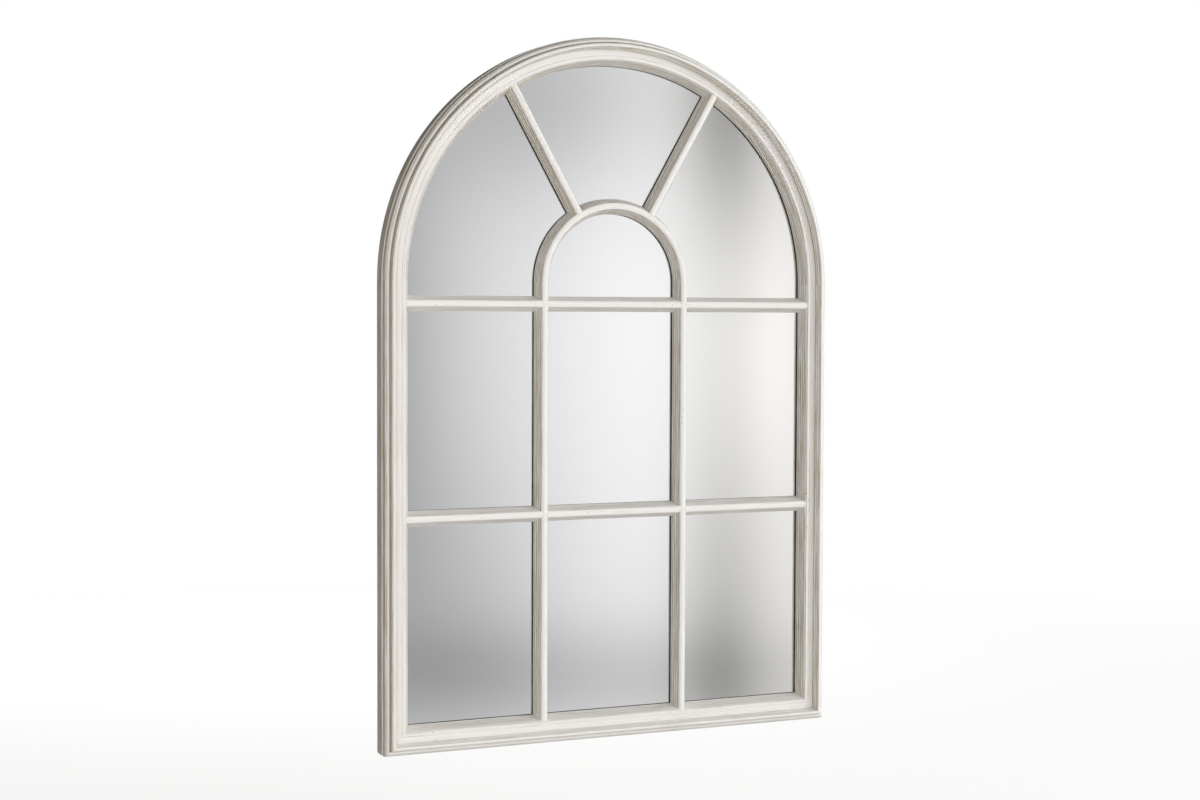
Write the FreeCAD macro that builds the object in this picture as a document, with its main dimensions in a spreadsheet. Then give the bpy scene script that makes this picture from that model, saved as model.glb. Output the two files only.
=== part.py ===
import FreeCAD, Part
import math
import os

import Sketcher
from FreeCAD import Placement, Rotation, Vector

# Arched window mirror. Millimetres, +Z up, the front faces -Y.
# The origin is the middle of the bottom edge of the frame's back.
# A place on a section is "out", away from the glass, and "rise", forward of the front of the glass.

SIZES = {
    # the frame as a whole
    "overallWidth": 800, "overallHeight": 1150, "faceWidth": 46, "glassSetback": 12, "cornerRounding": 7,
    # the reeded flank beside the glass, the same on the frame and on both sides of a bar
    "lipHeight": 2.2, "reedInset": 1.0, "reedStart": 3.0, "flankWidth": 8.0, "flankHeight": 18.4,
    # the land of the frame with its fine quirk line
    "landStart": 9.4, "landHeight": 20.5, "quirkPlace": 14.8, "quirkWidth": 1.0, "quirkDepth": 0.6,
    "quirkHeight": 18.9, "quirkFall": 0.06, "landEnd": 25.5, "landEndHeight": 17.0,
    # the raised rim, the bead outside it and the plain side
    "rimStart": 29.8, "rimHeight": 30.4, "rimEnd": 35.4, "rimEndHeight": 25.6,
    "sideGroovePlace": 36.6, "sideGrooveHeight": 21.4, "beadEnd": 41.2, "beadEndHeight": 20.6,
    "shoulderPlace": 43.2, "shoulderHeight": 18.0, "coveEnd": 44.3, "coveEndHeight": 11.6,
    "bandHeight": 9.8,
    # the glass, its backing board and their rebates
    "glassRebate": 8.0, "boardRebate": 18.5, "glassThickness": 4, "boardThickness": 3, "edgeGap": 1.0,
    "sheetGap": 0.1,
    # the glazing bars
    "barWidth": 25, "barSpacing": 251, "crestRise": 1.2, "upperBarDrop": 35, "copeStop": 1.5,
    # dowels
    "barDowelRadius": 3, "barDowelLength": 26, "crossDowelLength": 50, "barDowelHeight": 7.5,
    "frameDowelRadius": 4, "archDowelLength": 40, "mitreDowelLength": 26,
    "innerDowelPlace": 16, "innerDowelHeight": 7, "outerDowelPlace": 35, "outerDowelHeight": 2,
    "mitreDowelPlace": 30, "mitreDowelHeight": 4,
    # screws of the backing board
    "screwRadius": 1.5, "screwLength": 14, "screwHeadRadius": 3.2, "screwHeadHeight": 1.6, "screwInset": 13,
    # strap hangers, their rings and screws
    "strapWidth": 12, "strapLength": 44, "strapThickness": 1.2, "strapCorner": 3,
    "wireRadius": 1.5, "eyeGap": 0.1, "ringGap": 0.3, "ringRadius": 10, "ringLeg": 4, "ringCorner": 2.5,
    "ringSplit": 0.2, "hangerDrop": 5, "hangerInset": 14, "firstScrewDrop": 24, "secondScrewDrop": 37,
    "hangerScrewRadius": 1.75, "hangerScrewLength": 16, "hangerHeadRadius": 3.6, "hangerHeadTop": 2.4,
    "hangerHeadHeight": 1.8,
    # wall buffers
    "bufferRadius": 7, "bufferTaper": 1.0, "bufferThickness": 6, "bufferInset": 14, "bufferSideInset": 70,
    # how far the shape of a cut reaches past the wood
    "overcut": 2,
}
FLANK_GROOVES = (0.27, 0.52, 0.76)  # shares of the flank beside the glass, from its foot
RIM_GROOVES = (0.38, 0.72)  # shares of the rim's inner flank
REED_BULGE = 1.2  # the radius of a flat reed over the distance between its grooves
NOSE_BULGE = 0.62  # the same for the round crest of the rim and the bead outside it
ARCH_STARTS = {"right_arch_foot": 0, "right_arch_crown": 45, "left_arch_crown": 90, "left_arch_foot": 135}
ARCH_PIECE = 45  # degrees of one piece of the arch
RADIAL_ANGLE = {"left": 120, "right": 60}  # degrees of the radial bars, anticlockwise from the right
ARCH_SCREWS = (22.5, 67.5, 112.5, 157.5)  # degrees, the middle of each piece of the arch
STILE_SCREWS = (0.18, 0.42, 0.72)  # shares of the stile's height
RAIL_SCREWS = (-0.62, 0, 0.62)  # shares of half the width of the opening
SIDES = {"left": -1, "right": 1}

SIGHT = "(overallWidth / 2 - faceWidth)"  # from the middle to the edge of the opening
SPRINGING = "(overallHeight - overallWidth / 2)"  # where the straight stiles end and the arch starts
BAR_PLACE = "(barSpacing / 2)"  # from the middle to the middle of a vertical bar
UPPER_BAR = "(%s - upperBarDrop)" % SPRINGING
LOWER_BAR = "((%s + faceWidth - barWidth / 2) / 2)" % UPPER_BAR  # panes of equal height above and below
COPE = "(landStart + copeStop)"  # how far a bar runs into the frame before it is coped
BOARD_SEAT = "(glassThickness + 2 * sheetGap)"  # below the glass front: the glass lies loose in its rebate
GLASS_BACK = "(glassSetback - glassThickness - sheetGap)"
BOARD_BACK = "(glassSetback - %s - boardThickness)" % BOARD_SEAT
HANGER_HEIGHT = "(%s - hangerDrop)" % SPRINGING  # the hinge of each ring
EYE_DEPTH = "(strapThickness + ringGap + wireRadius)"  # the ring hangs clear of the strap
EYE_OUTER = "(wireRadius + eyeGap + strapThickness)"

doc = FreeCAD.newDocument("arched_window_mirror")
sheet = doc.addObject("Spreadsheet::Sheet", "Sizes")
for row, (alias, size) in enumerate(SIZES.items(), start=1):
    sheet.set("A%d" % row, alias)
    sheet.set("B%d" % row, str(size))
    sheet.setAlias("B%d" % row, alias)
doc.recompute()

pieces = []


def bound(text):
    """The expression with each size's name pointing at its cell."""
    words = []
    word = ""
    for letter in str(text) + " ":
        if letter.isalnum():
            word += letter
            continue
        words.append("Sizes." + word if word in SIZES else word)
        words.append(letter)
        word = ""
    return "".join(words).strip()


def number(text):
    """What an expression of the sizes comes to."""
    return float(sheet.evalExpression(bound(text)))


def bind(item, **properties):
    for name, text in properties.items():
        item.setExpression(name, bound(text))
    return item


def place(item, across=0, depth=0, up=0, axis=(0, 1, 0), angle=0):
    """Turns the item about an axis through its own origin, and binds where that origin lies."""
    item.Placement = Placement(Vector(), Rotation(Vector(*axis), angle))
    item.setExpression("Placement.Base.x", bound(across))
    item.setExpression("Placement.Base.y", bound(depth))
    item.setExpression("Placement.Base.z", bound(up))
    return item


def keep(name, item):
    """The item is a finished piece of the mirror."""
    item.Label = name
    pieces.append(item)
    return item


# Sketches

def new_body(name):
    return doc.addObject("PartDesign::Body", name)


def new_sketch(body, role, name):
    sketch = body.newObject("Sketcher::SketchObject", name)
    plane = [feature for feature in body.Origin.OriginFeatures if feature.Role == role][0]
    sketch.AttachmentSupport = [(plane, "")]
    sketch.MapMode = "FlatFace"
    return sketch


def draw(body, role, points, closed=True, name="Outline"):
    """A sketch of lines and arcs whose every vertex is bound to the sizes.

    A point is (x, y) or (x, y, radius, turn): the radius is that of the arc to the next point,
    which turns anticlockwise where turn is 1 and clockwise where it is -1.
    """
    sketch = new_sketch(body, role, name)
    places = [Vector(number(point[0]), number(point[1]), 0) for point in points]
    count = len(points) if closed else len(points) - 1
    ends = []
    for index in range(count):
        first = places[index]
        last = places[(index + 1) % len(points)]
        if len(points[index]) == 2:
            sketch.addGeometry(Part.LineSegment(first, last), False)
            ends.append((1, 2))
            continue
        radius = number(points[index][2])
        turn = points[index][3]
        chord = last - first
        rise = math.sqrt(max(radius ** 2 - chord.Length ** 2 / 4, 0))
        middle = (first + last) / 2 + Vector(-chord.y, chord.x, 0) / chord.Length * rise * turn
        angles = [math.atan2(end.y - middle.y, end.x - middle.x) for end in (first, last)]
        circle = Part.Circle(middle, Vector(0, 0, 1), radius)
        sketch.addGeometry(Part.ArcOfCircle(circle, *angles[::turn]), False)
        ends.append((1, 2)[::turn])
    rules = []
    texts = []
    for index in range(count):
        start = ends[index][0]
        for kind, text, spot in (("DistanceX", points[index][0], places[index].x),
                                 ("DistanceY", points[index][1], places[index].y)):
            rules.append(Sketcher.Constraint(kind, -1, 1, index, start, spot))
            texts.append(text)
        if len(points[index]) == 4:
            rules.append(Sketcher.Constraint("Radius", index, number(points[index][2])))
            texts.append(points[index][2])
        if closed or index + 1 < count:
            following = (index + 1) % count
            rules.append(Sketcher.Constraint("Coincident", index, ends[index][1],
                                             following, ends[following][0]))
            texts.append(None)
    if not closed:
        for kind, text, spot in (("DistanceX", points[-1][0], places[-1].x),
                                 ("DistanceY", points[-1][1], places[-1].y)):
            rules.append(Sketcher.Constraint(kind, -1, 1, count - 1, ends[-1][1], spot))
            texts.append(text)
    sketch.addConstraint(rules)
    for index, text in enumerate(texts):
        if text is not None:
            sketch.setExpression("Constraints[%d]" % index, bound(text))
    return sketch


def pad(body, sketch, length, midplane=False):
    feature = body.newObject("PartDesign::Pad", "Pad")
    feature.Profile = sketch
    feature.Midplane = midplane
    bind(feature, Length=length)
    return feature


def pocket(body, sketch):
    """Cuts the sketch's shape right through, both ways."""
    feature = body.newObject("PartDesign::Pocket", "Pocket")
    feature.Profile = sketch
    feature.Type = "ThroughAll"
    feature.Midplane = True
    return feature


def revolve(body, sketch, angle):
    """Turns the section from the body's +X axis towards its +Z axis."""
    feature = body.newObject("PartDesign::Revolution", "Revolution")
    feature.Profile = sketch
    feature.ReferenceAxis = (sketch, ["V_Axis"])
    feature.Angle = angle
    feature.Reversed = True
    return feature


# Moulding sections, as lists of (out, rise) or (out, rise, radius) going clockwise round the wood

def reed(first, last, bulge=REED_BULGE):
    """The radius of the reed between two grooves."""
    return "%g * sqrt((%s - (%s)) ^ 2 + (%s - (%s)) ^ 2)" % (bulge, last[0], first[0], last[1], first[1])


def reeded(foot, top, grooves):
    """The reeds from the foot to the top, with grooves at the given shares of the way."""
    points = []
    for share in (0,) + grooves + (1,):
        points.append(("%s + (%s - %s) * %g" % (foot[0], top[0], foot[0], share),
                       "%s + (%s - %s) * %g" % (foot[1], top[1], foot[1], share)))
    return [first + (reed(first, last),) for first, last in zip(points, points[1:])]


def flank():
    """From the sight edge up over the reeds to the shoulder of the moulding."""
    top = ("flankWidth", "flankHeight")
    return [("0", "0"), ("0", "lipHeight")] + reeded(("reedInset", "reedStart"), top, FLANK_GROOVES) + [top]


def frame_section():
    crest = reed(("rimStart", "rimHeight"), ("rimEnd", "rimEndHeight"), NOSE_BULGE)
    bead = reed(("sideGroovePlace", "sideGrooveHeight"), ("beadEnd", "beadEndHeight"), NOSE_BULGE)
    return flank() + [
        ("landStart", "landHeight"),
        ("quirkPlace", "quirkHeight"),
        ("quirkPlace + quirkWidth / 2", "quirkHeight - quirkDepth"),
        ("quirkPlace + quirkWidth", "quirkHeight - quirkFall"),
    ] + reeded(("landEnd", "landEndHeight"), ("rimStart", "rimHeight"), RIM_GROOVES) + [
        ("rimStart", "rimHeight", crest),
        ("rimEnd", "rimEndHeight"),
        ("sideGroovePlace", "sideGrooveHeight", bead),
        ("beadEnd", "beadEndHeight"),
        ("shoulderPlace", "shoulderHeight"),
        ("coveEnd", "coveEndHeight"),
        ("faceWidth", "bandHeight"),
        ("faceWidth", "-glassSetback"),
        ("boardRebate", "-glassSetback"),
        ("boardRebate", "-" + BOARD_SEAT),
        ("glassRebate", "-" + BOARD_SEAT),
        ("glassRebate", "0"),
    ]


def bar_section():
    near = flank()
    far = [("barWidth - (%s)" % point[0], point[1]) for point in reversed(near)]
    for index, point in enumerate(reversed(near[:-1])):
        if len(point) == 3:
            far[index] += (point[2],)
    half = "(barWidth / 2 - flankWidth)"
    crest = "(%s ^ 2 + crestRise ^ 2) / (2 * crestRise)" % half
    near[-1] += (crest,)
    return near + far


def section(body, role, points, x, y, turn):
    """Draws a moulding section: x and y give a sketch's place from (out, rise)."""
    spots = []
    for point in points:
        spot = (x(*point[:2]), y(*point[:2]))
        if len(point) == 3:
            spot += (point[2], turn)
        spots.append(spot)
    return draw(body, role, spots, name="Section")


def forward(rise):
    """Where a height above the glass lies on the depth axis."""
    return "-(glassSetback + (%s))" % rise


# Fasteners: round bars and screws that the wood is then cut by

def dowel(name, radius, length, across, up, rise, angle):
    """A dowel by its middle, turned from +X towards +Z by the angle."""
    item = bind(doc.addObject("Part::Cylinder", name), Radius=radius, Height=length)
    aside = math.cos(math.radians(angle))
    above = math.sin(math.radians(angle))
    place(item, "%s - %.6f * %s / 2" % (across, aside, length), forward(rise),
          "%s - %.6f * %s / 2" % (up, above, length), angle=90 - angle)
    return item


def polar(radius, angle):
    """A place on a circle about the middle of the arch."""
    aside = "%s * %.6f" % (radius, math.cos(math.radians(angle)))
    above = "%s + %s * %.6f" % (SPRINGING, radius, math.sin(math.radians(angle)))
    return aside, above


def screw(name, across, up, depth, top, rim, height, radius, length):
    """A screw driven forward from behind: its head is a cone of two radii, its top at the given depth."""
    head = bind(doc.addObject("Part::Cone", name + "_head"), Radius1=top, Radius2=rim, Height=height)
    shank = bind(doc.addObject("Part::Cylinder", name + "_shank"), Radius=radius, Height=length)
    for item in (head, shank):
        place(item, across, depth, up, axis=(1, 0, 0), angle=90)
    whole = doc.addObject("Part::Fuse", name)
    whole.Base = head
    whole.Tool = shank
    return whole


def group(name, members):
    item = doc.addObject("Part::Compound", name)
    item.Links = members
    return item


def make_bar_dowels():
    size = ("barDowelRadius", "barDowelLength")
    rise = "barDowelHeight"
    members = []
    for side, sign in SIDES.items():
        upright = "%d * %s" % (sign, BAR_PLACE)
        members.append(dowel(side + "_foot_dowel", *size, upright, "faceWidth", rise, 90))
        members.append(dowel(side + "_top_dowel", *size, upright, SPRINGING, rise, 90))
        for level, height in (("lower", LOWER_BAR), ("upper", UPPER_BAR)):
            name = "%s_%s" % (side, level)
            members.append(dowel(name + "_end_dowel", *size, "%d * %s" % (sign, SIGHT), height, rise, 0))
            members.append(dowel(name + "_cross_dowel", "barDowelRadius", "crossDowelLength",
                                 upright, height, rise, 0))
        angle = RADIAL_ANGLE[side]
        for end, radius in (("inner", "(%s + barWidth / 2)" % BAR_PLACE), ("outer", SIGHT)):
            members.append(dowel("%s_radial_%s_dowel" % (side, end), *size,
                                 *polar(radius, angle), rise, angle))
    return group("bar_dowels_group", members)


def make_arch_dowels():
    members = []
    for joint in range(0, 181, ARCH_PIECE):
        for ring in ("inner", "outer"):
            spot = polar("(%s + %sDowelPlace)" % (SIGHT, ring), joint)
            members.append(dowel("%s_dowel_%d" % (ring, joint), "frameDowelRadius", "archDowelLength",
                                 *spot, ring + "DowelHeight", joint + 90))
    return group("arch_dowels_group", members)


def make_corner_dowels():
    members = []
    for side, sign in SIDES.items():
        for ring, out, rise in (("inner", "innerDowelPlace", "innerDowelHeight"),
                                ("outer", "mitreDowelPlace", "mitreDowelHeight")):
            members.append(dowel("%s_%s_mitre_dowel" % (side, ring), "frameDowelRadius", "mitreDowelLength",
                                 "%d * (%s + %s)" % (sign, SIGHT, out), "faceWidth - %s" % out, rise,
                                 90 - 45 * sign))
    return group("corner_dowels_group", members)


def make_board_screws():
    inset = "(%s + screwInset)" % SIGHT
    spots = [polar(inset, angle) for angle in ARCH_SCREWS]
    for share in STILE_SCREWS:
        for sign in SIDES.values():
            spots.append(("%d * %s" % (sign, inset), "%s * %g" % (SPRINGING, share)))
    for share in RAIL_SCREWS:
        spots.append(("%s * %g" % (SIGHT, share), "faceWidth - screwInset"))
    members = []
    for index, spot in enumerate(spots, start=1):
        members.append(screw("board_screw_%d" % index, *spot, "-" + BOARD_BACK,
                             "screwHeadRadius", "screwRadius", "screwHeadHeight",
                             "screwRadius", "screwLength"))
    return group("board_screws_group", members)


def make_hanger_screws():
    members = []
    for side, sign in SIDES.items():
        for drop in ("firstScrewDrop", "secondScrewDrop"):
            members.append(screw("%s_%s" % (side, drop), "%d * (overallWidth / 2 - hangerInset)" % sign,
                                 "%s - %s" % (HANGER_HEIGHT, drop), "strapThickness + hangerHeadHeight",
                                 "hangerHeadTop", "hangerHeadRadius", "hangerHeadHeight",
                                 "hangerScrewRadius", "hangerScrewLength"))
    return group("hanger_screws_group", members)


def cut(name, base, *tools):
    """The base cut by each tool in turn; the last cut is the finished piece."""
    item = base
    for index, tool in enumerate(tools):
        result = doc.addObject("Part::Cut", "%s_cut_%d" % (name, index))
        result.Base = item
        result.Tool = tool
        item = result
    return keep(name, item)


# The frame

def make_bottom_rail():
    body = new_body("bottom_rail_body")
    outline = section(body, "YZ_Plane", frame_section(), lambda out, rise: forward(rise),
                      lambda out, rise: "faceWidth - (%s)" % out, 1)
    pad(body, outline, "overallWidth", midplane=True)
    for sign in SIDES.values():
        pocket(body, draw(body, "XZ_Plane", [
            ("%d * (overallWidth / 2 + overcut)" % sign, "-overcut"),
            ("%d * (overallWidth / 2 + overcut)" % sign, "faceWidth + overcut"),
            ("%d * (%s - overcut)" % (sign, SIGHT), "faceWidth + overcut"),
        ], name="Mitre"))
        pocket(body, rounding(body, sign))
    return body


def rounding(body, sign):
    """The shape outside the rounded lower corner of the frame."""
    return draw(body, "XZ_Plane", [
        ("%d * (overallWidth / 2 - cornerRounding)" % sign, "0", "cornerRounding", sign),
        ("%d * overallWidth / 2" % sign, "cornerRounding"),
        ("%d * (overallWidth / 2 + overcut)" % sign, "cornerRounding"),
        ("%d * (overallWidth / 2 + overcut)" % sign, "-overcut"),
        ("%d * (overallWidth / 2 - cornerRounding)" % sign, "-overcut"),
    ], name="Rounding")


def make_stile(side):
    sign = SIDES[side]
    body = new_body(side + "_stile_body")
    outline = section(body, "XY_Plane", frame_section(),
                      lambda out, rise: "%d * (%s + (%s))" % (sign, SIGHT, out),
                      lambda out, rise: forward(rise), sign)
    pad(body, outline, SPRINGING)
    pocket(body, draw(body, "XZ_Plane", [
        ("%d * (%s - overcut)" % (sign, SIGHT), "-overcut"),
        ("%d * (overallWidth / 2 + overcut)" % sign, "-overcut"),
        ("%d * (%s - overcut)" % (sign, SIGHT), "faceWidth + overcut"),
    ], name="Mitre"))
    pocket(body, rounding(body, sign))
    return body


def make_arch_piece(name, start):
    body = new_body(name + "_body")
    outline = section(body, "XY_Plane", frame_section(), lambda out, rise: "%s + (%s)" % (SIGHT, out),
                      lambda out, rise: forward(rise), 1)
    revolve(body, outline, ARCH_PIECE)
    return place(body, up=SPRINGING, angle=-start)


# The glazing bars

def make_bar(name, length, across, up, angle):
    """A straight bar from its first end, turned from +X towards +Z by the angle."""
    body = new_body(name + "_body")
    outline = section(body, "XY_Plane", bar_section(), lambda out, rise: "(%s) - barWidth / 2" % out,
                      lambda out, rise: forward(rise), 1)
    pad(body, outline, length)
    return place(body, across, 0, up, angle=90 - angle)


def make_inner_arch():
    body = new_body("inner_arch_body")
    outline = section(body, "XY_Plane", bar_section(),
                      lambda out, rise: "%s + (%s) - barWidth / 2" % (BAR_PLACE, out),
                      lambda out, rise: forward(rise), 1)
    revolve(body, outline, 180)
    return place(body, up=SPRINGING)


# The glass and its board

def arched_sheet(name, edge, thickness, back):
    """A sheet whose edge lies the given distance outside the opening."""
    body = new_body(name + "_body")
    reach = "(%s + %s)" % (SIGHT, edge)
    outline = draw(body, "XZ_Plane", [
        ("-" + reach, "faceWidth - " + edge),
        (reach, "faceWidth - " + edge),
        (reach, SPRINGING, reach, 1),
        ("0", "%s + %s" % (SPRINGING, reach), reach, 1),
        ("-" + reach, SPRINGING),
    ])
    pad(body, outline, thickness)
    return place(body, depth="-" + back)


# The hardware behind

def make_hanger_plate(side):
    """A strap folded round the ring's straight side, which leaves the eye at its upper end."""
    body = new_body(side + "_hanger_body")
    half = "strapWidth / 2"
    strap = draw(body, "XZ_Plane", [
        ("-" + half, "0"),
        ("-" + half, "strapCorner - strapLength", "strapCorner", 1),
        ("strapCorner - " + half, "-strapLength"),
        (half + " - strapCorner", "-strapLength", "strapCorner", 1),
        (half, "strapCorner - strapLength"),
        (half, "0"),
    ], name="Strap")
    pad(body, strap, "strapThickness").Reversed = True
    pad(body, circle(body, "YZ_Plane", EYE_DEPTH, EYE_OUTER, "Eye"), "strapWidth", midplane=True)
    pocket(body, circle(body, "YZ_Plane", EYE_DEPTH, "wireRadius + eyeGap", "Bore"))
    return place(body, "%d * (overallWidth / 2 - hangerInset)" % SIDES[side], 0, HANGER_HEIGHT)


def circle(body, role, across, radius, name):
    sketch = new_sketch(body, role, name)
    spot = Vector(number(across), 0, 0)
    sketch.addGeometry(Part.Circle(spot, Vector(0, 0, 1), number(radius)), False)
    sketch.addConstraint([Sketcher.Constraint("Radius", 0, number(radius)),
                          Sketcher.Constraint("DistanceX", -1, 1, 0, 3, spot.x),
                          Sketcher.Constraint("PointOnObject", 0, 3, -1)])
    sketch.setExpression("Constraints[0]", bound(radius))
    sketch.setExpression("Constraints[1]", bound(across))
    return sketch


def make_ring(side):
    """A bent wire whose two ends meet inside the eye, hanging straight down."""
    body = new_body(side + "_ring_body")
    line = draw(body, "XZ_Plane", [
        ("0", "0"),
        ("ringCorner - ringRadius", "0", "ringCorner", 1),
        ("-ringRadius", "-ringCorner"),
        ("-ringRadius", "-ringLeg", "ringRadius", 1),
        ("0", "-ringLeg - ringRadius", "ringRadius", 1),
        ("ringRadius", "-ringLeg"),
        ("ringRadius", "-ringCorner", "ringCorner", 1),
        ("ringRadius - ringCorner", "0"),
        ("ringSplit", "0"),
    ], closed=False, name="Line")
    wire = body.newObject("PartDesign::AdditivePipe", "Wire")
    wire.Profile = circle(body, "YZ_Plane", "0", "wireRadius", "Wire_section")
    wire.Spine = line
    return place(body, "%d * (overallWidth / 2 - hangerInset)" % SIDES[side], EYE_DEPTH, HANGER_HEIGHT)


def make_buffers():
    members = []
    for side, sign in SIDES.items():
        item = bind(doc.addObject("Part::Cone", side + "_buffer"), Radius1="bufferRadius",
                    Radius2="bufferRadius - bufferTaper", Height="bufferThickness")
        members.append(place(item, "%d * (overallWidth / 2 - bufferSideInset)" % sign, 0, "bufferInset",
                             axis=(1, 0, 0), angle=-90))
    return group("wall_buffers_group", members)


bar_dowels = make_bar_dowels()
arch_dowels = make_arch_dowels()
corner_dowels = make_corner_dowels()
board_screws = make_board_screws()
hanger_screws = make_hanger_screws()

rail = make_bottom_rail()
stiles = {side: make_stile(side) for side in SIDES}
arch = {name: make_arch_piece(name, start) for name, start in ARCH_STARTS.items()}
inner_arch = make_inner_arch()
uprights = {}
for side, sign in SIDES.items():
    uprights[side] = make_bar(side + "_vertical_bar", "%s - faceWidth + %s" % (SPRINGING, COPE),
                              "%d * %s" % (sign, BAR_PLACE), "faceWidth - " + COPE, 90)

cut("bottom_rail", rail, bar_dowels, corner_dowels, board_screws)
for side in SIDES:
    cut(side + "_stile", stiles[side], bar_dowels, corner_dowels, arch_dowels, board_screws, hanger_screws)
for name, item in arch.items():
    cut(name, item, bar_dowels, arch_dowels, board_screws)
cut("inner_arch_bar", inner_arch, bar_dowels)
for side in SIDES:
    cut(side + "_vertical_bar", uprights[side], rail, bar_dowels)
outer_length = "%s + %s - %s - copeStop" % (SIGHT, COPE, BAR_PLACE)
middle_length = "barSpacing - 2 * copeStop"
for level, height in (("lower", LOWER_BAR), ("upper", UPPER_BAR)):
    left_bar = make_bar("left_%s_bar" % level, outer_length, "-(%s + %s)" % (SIGHT, COPE), height, 0)
    cut("left_%s_bar" % level, left_bar, stiles["left"], uprights["left"], bar_dowels)
    middle_bar = make_bar("middle_%s_bar" % level, middle_length, "copeStop - " + BAR_PLACE, height, 0)
    cut("middle_%s_bar" % level, middle_bar, uprights["left"], uprights["right"], bar_dowels)
    right_bar = make_bar("right_%s_bar" % level, outer_length, "%s + copeStop" % BAR_PLACE, height, 0)
    cut("right_%s_bar" % level, right_bar, uprights["right"], stiles["right"], bar_dowels)
radial_start = "(%s + copeStop)" % BAR_PLACE
for side, angle in RADIAL_ANGLE.items():
    radial = make_bar(side + "_radial_bar", "%s + %s - %s" % (SIGHT, COPE, radial_start),
                      *polar(radial_start, angle), angle)
    cut(side + "_radial_bar", radial, inner_arch, arch[side + "_arch_crown"], bar_dowels)

keep("mirror_glass", arched_sheet("mirror_glass", "(glassRebate - edgeGap)", "glassThickness", GLASS_BACK))
board = arched_sheet("backing_board", "(boardRebate - edgeGap)", "boardThickness", BOARD_BACK)
cut("backing_board", board, board_screws)
keep("board_screws", board_screws)
keep("bar_dowels", bar_dowels)
keep("arch_dowels", arch_dowels)
keep("corner_dowels", corner_dowels)
for side in SIDES:
    cut(side + "_hanger_plate", make_hanger_plate(side), hanger_screws)
    keep(side + "_hanger_ring", make_ring(side))
keep("hanger_screws", hanger_screws)
keep("wall_buffers", make_buffers())
doc.recompute()

for item in doc.Objects:
    if "Invalid" in item.State or "Error" in item.State:
        raise RuntimeError("%s failed: %s" % (item.Name, item.State))
os.makedirs("parts", exist_ok=True)
for item in pieces:
    if item.Shape.isNull() or not item.Shape.isValid():
        raise RuntimeError("%s has no valid shape" % item.Label)
    item.Shape.exportStep("parts/%s.step" % item.Label)
    print("%-20s %2d solids %12.1f mm3" % (item.Label, len(item.Shape.Solids), item.Shape.Volume))
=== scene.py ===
import math

import bmesh
import bpy
from mathutils import Matrix, Vector


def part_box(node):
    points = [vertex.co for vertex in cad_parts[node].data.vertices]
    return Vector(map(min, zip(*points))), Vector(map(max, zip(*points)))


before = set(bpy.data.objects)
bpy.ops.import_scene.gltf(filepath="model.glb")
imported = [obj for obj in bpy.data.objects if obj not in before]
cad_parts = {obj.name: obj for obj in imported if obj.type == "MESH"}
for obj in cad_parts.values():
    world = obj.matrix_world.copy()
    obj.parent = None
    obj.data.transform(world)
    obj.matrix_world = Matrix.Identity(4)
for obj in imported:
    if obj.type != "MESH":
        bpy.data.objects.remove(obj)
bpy.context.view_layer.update()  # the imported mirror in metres: its front faces -Y, +Z is up
scene = bpy.context.scene
scene.view_settings.view_transform = "Standard"
print("frame loaded")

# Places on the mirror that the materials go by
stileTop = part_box("right_stile")[1].z  # the arch is struck from this height
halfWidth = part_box("right_stile")[1].x
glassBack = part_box("mirror_glass")[1].y


# Short ways to build node trees

noiseSpan = (0.3, 0.7)  # where most of a noise texture's values lie


def addNode(tree, kind, inputs=None, **settings):
    node = tree.nodes.new(kind)
    for name, value in settings.items():
        setattr(node, name, value)
    for name, value in (inputs or {}).items():
        if isinstance(value, bpy.types.NodeSocket):
            tree.links.new(value, node.inputs[name])
        else:
            node.inputs[name].default_value = value
    return node


def calc(tree, operation, first, second=None, third=None, clamp=False):
    values = {0: first}
    if second is not None:
        values[1] = second
    if third is not None:
        values[2] = third
    return addNode(tree, "ShaderNodeMath", values, operation=operation, use_clamp=clamp).outputs[0]


def remap(tree, value, fromMin, fromMax, toMin=0.0, toMax=1.0):
    return addNode(tree, "ShaderNodeMapRange", {0: value, 1: fromMin, 2: fromMax, 3: toMin, 4: toMax},
                   interpolation_type="SMOOTHSTEP").outputs[0]


def blendColour(tree, factor, first, second):
    node = addNode(tree, "ShaderNodeMix", data_type="RGBA")
    for index, value in ((0, factor), (6, first), (7, second)):
        if isinstance(value, bpy.types.NodeSocket):
            tree.links.new(value, node.inputs[index])
        else:
            node.inputs[index].default_value = (*value, 1) if isinstance(value, tuple) else value
    return node.outputs[2]


def noise(tree, vector, scale, detail=3.0, roughness=0.55):
    return addNode(tree, "ShaderNodeTexNoise", {"Vector": vector, "Scale": scale, "Detail": detail,
                                                "Roughness": roughness}).outputs["Fac"]


def newMaterial(name):
    material = bpy.data.materials.new(name)
    material.use_nodes = True
    tree = material.node_tree
    tree.nodes.clear()
    shader = addNode(tree, "ShaderNodeBsdfPrincipled")
    output = addNode(tree, "ShaderNodeOutputMaterial")
    tree.links.new(shader.outputs[0], output.inputs[0])
    return material, tree, shader


def addBump(tree, shader, height, strength, distance):
    bump = addNode(tree, "ShaderNodeBump", {"Height": height, "Strength": strength, "Distance": distance})
    tree.links.new(bump.outputs[0], shader.inputs["Normal"])


# Limed paint: off-white brushed over a taupe wash that stays in the grooves and in broken lines on the
# flanks; the same taupe paints shade into the grooves, thinly onto the flanks and onto the outer sides

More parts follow.
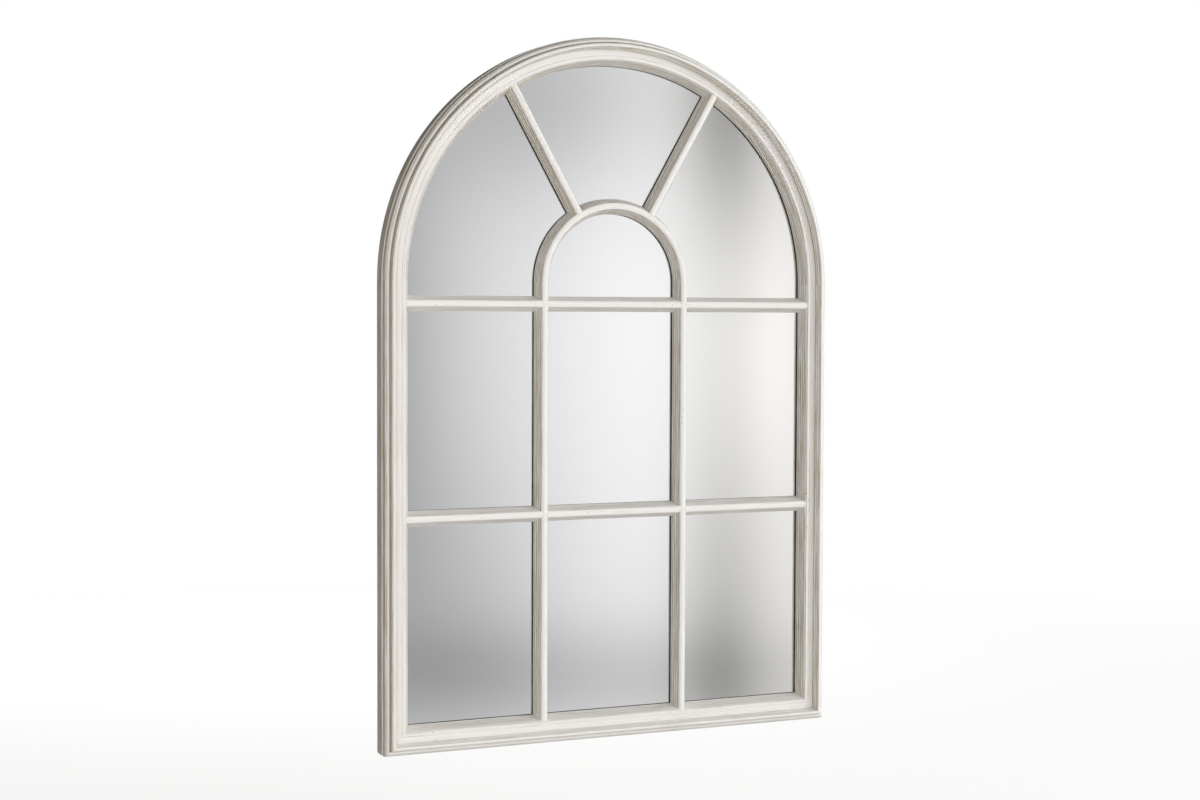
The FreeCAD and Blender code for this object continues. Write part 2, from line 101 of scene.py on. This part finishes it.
limedPaint = {
    "paint": (0.79, 0.78, 0.762),
    "cleanPaint": (0.85, 0.842, 0.832),  # where the raised edges are rubbed clean
    "thinPaint": (0.71, 0.665, 0.59),  # where the brush left it thin
    # the taupe of the wash, which also paints shade into the grooves, onto the flanks and onto the outer
    # sides
    "taupeWashAndShade": (0.33, 0.265, 0.165),
    "nick": (0.15, 0.115, 0.08),
    "seatShade": (0.12, 0.15, 0.10),  # painted shade: the rebate under the lip, dark and green as it looks through the glass
    "bareWood": (0.56, 0.41, 0.26),
    "bareWoodDark": (0.42, 0.29, 0.17),
    "alongScale": 11.0,  # brush marks for each metre along the moulding
    "acrossScale": 520.0,  # and across it
    "fineScale": 2.3,  # how much finer the fine streaks are
    "cloudScale": 14.0,
    "cleanReach": 0.004,  # metres, how near an edge has to be to be rubbed clean
    "cleanEdge": (0.15, 0.55),
    "thinStreaks": (0.50, 0.72),
    "thinWeight": (0.35, 0.95),
    # ranges of a face's direction: -1 looks to the front, 0 to the side and 1 to the wall
    "frontFacing": (-0.92, -0.70),
    "flankFacing": (-0.86, -0.52),
    "sideFacing": (-0.62, -0.2),
    "rearFacing": (0.4, 0.1),  # where the painted shade of the sides ends
    "backFacing": (0.4, 0.6),
    # painted shade: an even tone on the sloped flanks, set by their direction alone
    "flankShadeWeight": 0.07,
    "sideShadeWeight": 0.36,  # painted shade: darkens the outer sides with the wash colour
    "sideReach": 0.016,  # and how far in they go
    "fineLines": (0.52, 0.62),
    "broadLines": (0.50, 0.58),
    "lineWash": 0.42,
    "grooveReach": 0.0022,
    "grooveDepth": (0.995, 0.90),
    "grooveStreaks": (0.30, 0.58),
    "grooveWashAndShadeSpan": (0.45, 1.0),  # from the palest streak to the darkest
    "frontGroove": 0.06,  # how much of the groove wash and painted shade is left on faces that look to the front
    "levelWashAndShade": 0.5,  # the level bars and the rail take less of it
    "quirk": 0.0307,  # how far inside the outer edge the quirk lies, which is filled with paint
    "quirkReach": (0.002, 0.004),
    "quirkWashAndShade": 0.15,  # how much of the groove wash and painted shade is left there
    "speckScale": 330.0,
    "nickSpecks": (0.685, 0.715),
    "nickClouds": (0.54, 0.62),
    "nickWeight": 0.8,
    "seedStep": 3.7,  # metres between one piece's place in the noise and the next one's
    "aoRays": 12,
    "backLap": 0.007,  # how far the paint laps round to the back
    "lapScale": 60.0,
    "lapRagged": 0.005,
    "woodStreaks": (0.35, 0.65),
    "roughness": (0.40, 0.60),
    "shine": 0.3,
    "relief": (0.3, 0.0004),  # the brush marks' strength and height
    "reliefShares": (0.6, 0.4),  # of the streaks and of the fine streaks
}


# The place on a moulding as along it, across it and in depth, and how far it lies inside the outer edge
def grainPlace(tree, grain):
    place = addNode(tree, "ShaderNodeTexCoord").outputs["Object"]
    parts = addNode(tree, "ShaderNodeSeparateXYZ", {0: place})
    x, y, z = parts.outputs[0], parts.outputs[1], parts.outputs[2]
    if grain == "upright":
        return z, x, y, calc(tree, "SUBTRACT", halfWidth, calc(tree, "ABSOLUTE", x))
    if grain == "level":
        return x, z, y, z
    if grain == "arch":
        up = calc(tree, "SUBTRACT", z, stileTop)
        square = calc(tree, "ADD", calc(tree, "MULTIPLY", x, x), calc(tree, "MULTIPLY", up, up))
        radius = calc(tree, "SQRT", square)
        turn = calc(tree, "ARCTAN2", up, x)
        return calc(tree, "MULTIPLY", turn, halfWidth), radius, y, calc(tree, "SUBTRACT", halfWidth, radius)
    cosine, sine = math.cos(math.radians(grain)), math.sin(math.radians(grain))
    along = calc(tree, "ADD", calc(tree, "MULTIPLY", x, cosine), calc(tree, "MULTIPLY", z, sine))
    across = calc(tree, "SUBTRACT", calc(tree, "MULTIPLY", z, cosine), calc(tree, "MULTIPLY", x, sine))
    return along, across, y, across


def makeLimedPaint(name, grain, seed):
    look = limedPaint
    material, tree, shader = newMaterial(name)
    along, across, depth, inside = grainPlace(tree, grain)
    even = addNode(tree, "ShaderNodeCombineXYZ", {
        0: calc(tree, "ADD", along, seed), 1: across, 2: depth}).outputs[0]
    brushed = addNode(tree, "ShaderNodeMapping", {0: even, 3: (
        look["alongScale"], look["acrossScale"], look["acrossScale"])}).outputs[0]
    streaks = noise(tree, brushed, 1.0, 4.0, 0.6)
    fineStreaks = noise(tree, brushed, look["fineScale"], 3.0, 0.6)
    clouds = noise(tree, even, look["cloudScale"], 3.0, 0.5)
    specks = noise(tree, even, look["speckScale"], 2.0, 0.5)

    normal = addNode(tree, "ShaderNodeNewGeometry").outputs["Normal"]
    facing = addNode(tree, "ShaderNodeSeparateXYZ", {0: normal}).outputs[1]
    clear = addNode(tree, "ShaderNodeAmbientOcclusion", {"Distance": look["grooveReach"]},
                    samples=look["aoRays"], only_local=True).outputs["AO"]
    edge = addNode(tree, "ShaderNodeAmbientOcclusion", {"Distance": look["cleanReach"]},
                   samples=look["aoRays"], only_local=True, inside=True).outputs["AO"]

    # the raised edges are clean, the rest is brushed with thin streaks
    clean = remap(tree, edge, *look["cleanEdge"])
    colour = blendColour(tree, clean, look["paint"], look["cleanPaint"])
    thin = calc(tree, "MULTIPLY", remap(tree, streaks, *look["thinStreaks"]),
                remap(tree, clouds, *noiseSpan, *look["thinWeight"]))
    colour = blendColour(tree, thin, colour, look["thinPaint"])

    # the wash and painted shade: painted shade thinly on the flanks and on the outer sides, the wash in
    # fine broken lines along the flanks, and both in the grooves
    flank = remap(tree, facing, *look["flankFacing"])
    side = calc(tree, "MULTIPLY", remap(tree, facing, *look["sideFacing"]),
                remap(tree, facing, *look["rearFacing"]))
    lines = calc(tree, "MAXIMUM", remap(tree, fineStreaks, *look["fineLines"]),
                 remap(tree, streaks, *look["broadLines"]))
    lines = calc(tree, "MULTIPLY", lines, look["lineWash"])
    # painted shade on the flanks by their direction, with the brushed wash lines along them
    flankWashAndShade = calc(tree, "MULTIPLY", flank, calc(tree, "ADD", lines, look["flankShadeWeight"]))
    # painted shade on the outer sides, within a short reach of the outer edge
    sideShade = calc(tree, "MULTIPLY", side, calc(tree, "LESS_THAN", inside, look["sideReach"]))
    flankWashAndShade = calc(tree, "MULTIPLY_ADD", sideShade, look["sideShadeWeight"], flankWashAndShade)
    # the wash settled in the grooves, with painted shade: darker where the occlusion finds a hollow
    washAndShadeInGrooves = calc(tree, "MULTIPLY", remap(tree, clear, *look["grooveDepth"]),
                    remap(tree, streaks, *look["grooveStreaks"], *look["grooveWashAndShadeSpan"]))
    reached = remap(tree, facing, *look["frontFacing"], look["frontGroove"], 1.0)
    offQuirk = calc(tree, "ABSOLUTE", calc(tree, "SUBTRACT", inside, look["quirk"]))
    reached = calc(tree, "MULTIPLY", reached,
                   remap(tree, offQuirk, *look["quirkReach"], look["quirkWashAndShade"], 1.0))
    washAndShadeAmount = calc(tree, "MULTIPLY_ADD", washAndShadeInGrooves, reached, flankWashAndShade, clamp=True)
    if grain == "level":
        washAndShadeAmount = calc(tree, "MULTIPLY", washAndShadeAmount, look["levelWashAndShade"])
    colour = blendColour(tree, washAndShadeAmount, colour, look["taupeWashAndShade"])

    # a few dark nicks, gathered in places
    nick = calc(tree, "MULTIPLY", remap(tree, specks, *look["nickSpecks"]),
                remap(tree, clouds, *look["nickClouds"]))
    colour = blendColour(tree, calc(tree, "MULTIPLY", nick, look["nickWeight"]), colour, look["nick"])

    # behind, the paint laps raggedly over bare wood; under the lip the seat gets painted shade, dark green
    # as the rebate looks through the glass
    ragged = noise(tree, even, look["lapScale"], 4.0, 0.65)
    lap = calc(tree, "ADD", look["backLap"],
               remap(tree, ragged, *noiseSpan, -look["lapRagged"], look["lapRagged"]))
    behind = remap(tree, facing, *look["backFacing"])
    bare = calc(tree, "MULTIPLY", behind, calc(tree, "GREATER_THAN", inside, lap))
    wood = blendColour(tree, remap(tree, streaks, *look["woodStreaks"]),
                       look["bareWood"], look["bareWoodDark"])
    colour = blendColour(tree, bare, colour, wood)
    # painted shade: the rebate seat under the glass, in dark green
    seatShaded = calc(tree, "MULTIPLY", behind, calc(tree, "LESS_THAN", depth, glassBack))
    colour = blendColour(tree, seatShaded, colour, look["seatShade"])

    tree.links.new(colour, shader.inputs["Base Color"])
    tree.links.new(remap(tree, streaks, *noiseSpan, *look["roughness"]), shader.inputs["Roughness"])
    broadShare, fineShare = look["reliefShares"]
    height = calc(tree, "ADD", calc(tree, "MULTIPLY", streaks, broadShare),
                  calc(tree, "MULTIPLY", fineStreaks, fineShare))
    addBump(tree, shader, height, *look["relief"])
    shader.inputs["Specular IOR Level"].default_value = look["shine"]
    return material


frameGrains = {
    "left_stile": "upright", "right_stile": "upright", "bottom_rail": "level",
    "left_vertical_bar": "upright", "right_vertical_bar": "upright",
    "left_lower_bar": "level", "middle_lower_bar": "level", "right_lower_bar": "level",
    "left_upper_bar": "level", "middle_upper_bar": "level", "right_upper_bar": "level",
    "left_arch_foot": "arch", "left_arch_crown": "arch",
    "right_arch_crown": "arch", "right_arch_foot": "arch",
    "inner_arch_bar": "arch", "left_radial_bar": 120, "right_radial_bar": 60,  # degrees from +X towards +Z
}


# Glass: a clear sheet, very slightly green, silvered and lacquered on its back face

mirrorGlass = {"tint": (0.985, 0.992, 0.986), "bend": 1.52, "silver": (0.945, 0.941, 0.945)}


def makeClearGlass():
    material, tree, shader = newMaterial("clearGlass")
    shader.inputs["Base Color"].default_value = (*mirrorGlass["tint"], 1)
    shader.inputs["Roughness"].default_value = 0.0
    shader.inputs["IOR"].default_value = mirrorGlass["bend"]
    shader.inputs["Transmission Weight"].default_value = 1.0
    return material


def makeSilvering():
    material, tree, shader = newMaterial("silvering")
    shader.inputs["Metallic"].default_value = 1.0
    shader.inputs["Base Color"].default_value = (*mirrorGlass["silver"], 1)
    shader.inputs["Roughness"].default_value = 0.0
    return material


zincPlate = {
    "bright": (0.62, 0.63, 0.62), "dull": (0.50, 0.49, 0.45), "cloudScale": 260.0,
    "dulled": (0.35, 0.7), "roughness": (0.24, 0.42),
}


def makeZincPlate():
    material, tree, shader = newMaterial("zincPlate")
    place = addNode(tree, "ShaderNodeTexCoord").outputs["Object"]
    cloud = noise(tree, place, zincPlate["cloudScale"], 4.0, 0.6)
    colour = blendColour(tree, remap(tree, cloud, *zincPlate["dulled"]),
                         zincPlate["bright"], zincPlate["dull"])
    tree.links.new(colour, shader.inputs["Base Color"])
    tree.links.new(remap(tree, cloud, *noiseSpan, *zincPlate["roughness"]), shader.inputs["Roughness"])
    shader.inputs["Metallic"].default_value = 1.0
    return material


hardboard = {
    "fibre": (0.235, 0.135, 0.07), "darkFibre": (0.155, 0.085, 0.042), "scuff": (0.30, 0.19, 0.10),
    "fibreScale": 900.0, "fibres": (0.35, 0.65), "cloudScale": 9.0, "scuffs": (0.4, 0.7),
    "scuffWeight": 0.4, "roughness": 0.62, "relief": (0.3, 0.0004),
}


def makeHardboard():
    material, tree, shader = newMaterial("hardboard")
    place = addNode(tree, "ShaderNodeTexCoord").outputs["Object"]
    fibre = noise(tree, place, hardboard["fibreScale"], 3.0, 0.7)
    cloud = noise(tree, place, hardboard["cloudScale"], 4.0, 0.6)
    colour = blendColour(tree, remap(tree, fibre, *hardboard["fibres"]),
                         hardboard["fibre"], hardboard["darkFibre"])
    scuffed = calc(tree, "MULTIPLY", remap(tree, cloud, *hardboard["scuffs"]), hardboard["scuffWeight"])
    tree.links.new(blendColour(tree, scuffed, colour, hardboard["scuff"]), shader.inputs["Base Color"])
    shader.inputs["Roughness"].default_value = hardboard["roughness"]
    addBump(tree, shader, fibre, *hardboard["relief"])
    return material


dowelWood = {
    "light": (0.58, 0.41, 0.25), "pore": (0.45, 0.30, 0.17), "poreScale": 700.0, "pores": (0.4, 0.6),
    "roughness": 0.6,
}


def makeDowelWood():
    material, tree, shader = newMaterial("dowelWood")
    place = addNode(tree, "ShaderNodeTexCoord").outputs["Object"]
    pore = remap(tree, noise(tree, place, dowelWood["poreScale"], 3.0, 0.6), *dowelWood["pores"])
    colour = blendColour(tree, pore, dowelWood["light"], dowelWood["pore"])
    tree.links.new(colour, shader.inputs["Base Color"])
    shader.inputs["Roughness"].default_value = dowelWood["roughness"]
    return material


bufferRubber = {
    "black": (0.022, 0.021, 0.020), "dusty": (0.060, 0.057, 0.053), "dustScale": 500.0, "dust": (0.45, 0.7),
    "roughness": 0.7,
}


def makeBufferRubber():
    material, tree, shader = newMaterial("bufferRubber")
    place = addNode(tree, "ShaderNodeTexCoord").outputs["Object"]
    dust = remap(tree, noise(tree, place, bufferRubber["dustScale"], 3.0, 0.6), *bufferRubber["dust"])
    colour = blendColour(tree, dust, bufferRubber["black"], bufferRubber["dusty"])
    tree.links.new(colour, shader.inputs["Base Color"])
    shader.inputs["Roughness"].default_value = bufferRubber["roughness"]
    return material


def dress(node, *materials):
    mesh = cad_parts[node].data
    mesh.materials.clear()
    for material in materials:
        mesh.materials.append(material)


for seed, (node, grain) in enumerate(frameGrains.items()):
    dress(node, makeLimedPaint("limedPaint_" + node, grain, seed * limedPaint["seedStep"]))
dress("mirror_glass", makeClearGlass(), makeSilvering())
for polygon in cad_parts["mirror_glass"].data.polygons:
    if polygon.center.y > glassBack - 0.0001:
        polygon.material_index = 1  # the silvering
dress("backing_board", makeHardboard())
dress("wall_buffers", makeBufferRubber())
zinc = makeZincPlate()
for node in ("board_screws", "hanger_screws", "left_hanger_plate", "right_hanger_plate",
             "left_hanger_ring", "right_hanger_ring"):
    dress(node, zinc)
wood = makeDowelWood()
for node in ("bar_dowels", "arch_dowels", "corner_dowels"):
    dress(node, wood)
print("materials done")


# Studio: a white floor and backdrop, and the soft panels that the glass and the paint are lit by

studio = {
    "floorDrop": 0.35,  # the mirror hangs, so the floor lies below it
    "floorSize": 40.0,
    "floorColour": (0.88, 0.87, 0.86),
    "floorGlow": (0.62, 1.0),  # how much of the floor's white is its own, near the mirror and far off
    "floorShade": 0.55,  # how much of it takes the shadow near the mirror
    "floorFade": (1.5, 5.0),  # from near to far, in metres
    "rear": 0.30,  # the room's level behind and at the sides
    "front": 0.85,
    "frontReach": (0.20, 0.65),  # how far forward a direction points, from the rear level to the front one
    "right": 0.12,  # more from the right
    "rightReach": (0.45, 0.95),
    "above": (1.7, 0.2, 0.7),  # how much brighter it is high in front, and from where to where
    "shade": (0.9, 0.0, 0.6),  # how much darker it is up to the left, and from where to where
    "leftTone": (1.0, 0.91, 0.70),
    "middleTone": (0.985, 0.985, 1.0),
    "rightTone": (1.0, 0.985, 0.955),
    "leftReach": (-0.85, -0.1),  # from the left tone to the middle one, as shares of the way to the right
    "warmReach": (25.0, 29.0),  # and from the middle tone to the right one, in degrees
    # soft panels in front of the mirror: azimuth, elevation, half widths (degrees), strength.
    # These rows are the rounded result of a least-squares fit, made by another script, to tones
    # measured in the photo's panes; they were not placed by hand
    "panels": (
        (17, -1, 3.5, 11, -0.6),
        (21, -8.5, 3, 4.5, -0.2),
        (25, -10, 9, 1.6, -0.25),
        (23, 6, 4, 3, -0.3),
        (26, 0, 2.5, 7.5, 0.15),
        (28.3, 6, 1.3, 4, -0.45),
        (28.2, -9, 1.3, 6, -0.3),
        (29.6, -1, 0.9, 4, 0.15),
    ),
}


def makeWorld():
    world = bpy.data.worlds.new("studio")
    scene.world = world
    world.use_nodes = True
    tree = world.node_tree
    tree.nodes.clear()
    direction = addNode(tree, "ShaderNodeTexCoord").outputs["Generated"]
    parts = addNode(tree, "ShaderNodeSeparateXYZ", {0: direction})
    toRight, toBack, up = parts.outputs[0], parts.outputs[1], parts.outputs[2]
    forward = calc(tree, "MULTIPLY", toBack, -1.0)
    azimuth = calc(tree, "MULTIPLY", calc(tree, "ARCTAN2", toRight, forward), 180 / math.pi)
    elevation = calc(tree, "MULTIPLY", calc(tree, "ARCSINE", up), 180 / math.pi)
    ahead = remap(tree, forward, *studio["frontReach"])
    aside = remap(tree, toRight, *studio["rightReach"])
    level = calc(tree, "MULTIPLY", calc(tree, "MAXIMUM", ahead, aside), studio["front"] - studio["rear"])
    level = calc(tree, "ADD", level, studio["rear"])
    level = calc(tree, "ADD", level, calc(tree, "MULTIPLY", aside, studio["right"]))
    high, fromHeight, toHeight = studio["above"]
    level = calc(tree, "MULTIPLY_ADD", remap(tree, up, fromHeight, toHeight, 0.0, high), ahead, level)
    upLeft = calc(tree, "MULTIPLY", calc(tree, "SUBTRACT", up, toRight), math.sqrt(0.5))
    shade, fromShare, toShare = studio["shade"]
    level = calc(tree, "MULTIPLY", level, remap(tree, upLeft, fromShare, toShare, 1.0, 1.0 - shade))
    for panelAzimuth, panelElevation, width, height, strength in studio["panels"]:
        beside = calc(tree, "DIVIDE", calc(tree, "SUBTRACT", azimuth, panelAzimuth), width)
        above = calc(tree, "DIVIDE", calc(tree, "SUBTRACT", elevation, panelElevation), height)
        spread = calc(tree, "MULTIPLY_ADD", beside, beside, calc(tree, "MULTIPLY", above, above))
        glow = calc(tree, "EXPONENT", calc(tree, "MULTIPLY", spread, -1.0))
        level = calc(tree, "ADD", level, calc(tree, "MULTIPLY", glow, strength))
    seen = addNode(tree, "ShaderNodeLightPath").outputs["Is Camera Ray"]
    tone = blendColour(tree, remap(tree, toRight, *studio["leftReach"]),
                       studio["leftTone"], studio["middleTone"])
    tone = blendColour(tree, remap(tree, azimuth, *studio["warmReach"]), tone, studio["rightTone"])
    tone = blendColour(tree, seen, tone, (1.0, 1.0, 1.0))
    level = addNode(tree, "ShaderNodeMix", {0: seen, 2: level, 3: 1.0}).outputs[0]
    background = addNode(tree, "ShaderNodeBackground", {"Strength": level, "Color": tone})
    output = addNode(tree, "ShaderNodeOutputWorld")
    tree.links.new(background.outputs[0], output.inputs[0])


def makeFloor():
    bm = bmesh.new()
    bmesh.ops.create_grid(bm, x_segments=1, y_segments=1, size=studio["floorSize"] / 2)
    bmesh.ops.translate(bm, vec=(0, 0, -studio["floorDrop"]), verts=bm.verts)
    mesh = bpy.data.meshes.new("floor")
    bm.to_mesh(mesh)
    bm.free()
    item = bpy.data.objects.new("floor", mesh)
    scene.collection.objects.link(item)
    material = bpy.data.materials.new("paleFloor")
    material.use_nodes = True
    tree = material.node_tree
    tree.nodes.clear()
    place = addNode(tree, "ShaderNodeTexCoord").outputs["Object"]
    away = addNode(tree, "ShaderNodeVectorMath", {0: place}, operation="LENGTH").outputs["Value"]
    far = remap(tree, away, *studio["floorFade"])
    ownWhite = remap(tree, away, *studio["floorFade"], *studio["floorGlow"])
    glow = addNode(tree, "ShaderNodeEmission", {"Strength": ownWhite})
    shade = addNode(tree, "ShaderNodeBsdfDiffuse", {
        "Color": blendColour(tree, far, (studio["floorShade"],) * 3, (0.0, 0.0, 0.0))})
    white = addNode(tree, "ShaderNodeAddShader", {0: glow.outputs[0], 1: shade.outputs[0]})
    lit = addNode(tree, "ShaderNodeBsdfDiffuse", {"Color": (*studio["floorColour"], 1)})
    seen = addNode(tree, "ShaderNodeLightPath").outputs["Is Camera Ray"]
    both = addNode(tree, "ShaderNodeMixShader", {0: seen, 1: lit.outputs[0], 2: white.outputs[0]})
    output = addNode(tree, "ShaderNodeOutputMaterial")
    tree.links.new(both.outputs[0], output.inputs[0])
    mesh.materials.append(material)
    item.visible_glossy = False
    item.visible_transmission = False


lampAim = (0, 0, 0.6)  # the middle of the mirror, near enough
# name: place, size, watts, colour
lamps = {
    "keyRight": ((3.6, -2.1, 0.9), (1.6, 3.4), 78, (1.0, 1.0, 1.0)),
    "fillLeft": ((-2.4, -3.3, 0.2), (3.2, 0.9), 60, (1.0, 0.975, 0.93)),
    "fillBack": ((0.8, 4.2, 1.4), (2.6, 2.6), 60, (1.0, 1.0, 1.0)),
}


def addLamp(name, place, size, power, colour):
    lamp = bpy.data.lights.new(name, "AREA")
    lamp.shape = "RECTANGLE"
    lamp.size, lamp.size_y = size
    lamp.energy = power
    lamp.color = colour
    item = bpy.data.objects.new(name, lamp)
    scene.collection.objects.link(item)
    item.location = place
    item.rotation_euler = (Vector(lampAim) - Vector(place)).to_track_quat("-Z", "Y").to_euler()
    item.visible_camera = False
    item.visible_glossy = False
    item.visible_transmission = False


makeWorld()
makeFloor()
for name, settings in lamps.items():
    addLamp(name, *settings)
print("studio done")

# The camera, at the photograph's angle: a least-squares fit to edges measured in the photo
view = {
    "place": (-1.4425, -3.0956, 0.6979), "yaw": 24.777, "pitch": 2.364, "roll": 0.209,
    "lens": 61.98, "sensor": 36,
}
lens = bpy.data.cameras.new("photoView")
lens.sensor_width = view["sensor"]
lens.lens = view["lens"]
camera = bpy.data.objects.new("photoView", lens)
scene.collection.objects.link(camera)
camera.matrix_world = (Matrix.Translation(view["place"])
                       @ Matrix.Rotation(math.radians(-view["yaw"]), 4, "Z")
                       @ Matrix.Rotation(math.radians(90 - view["pitch"]), 4, "X")
                       @ Matrix.Rotation(math.radians(view["roll"]), 4, "Z"))
scene.camera = camera
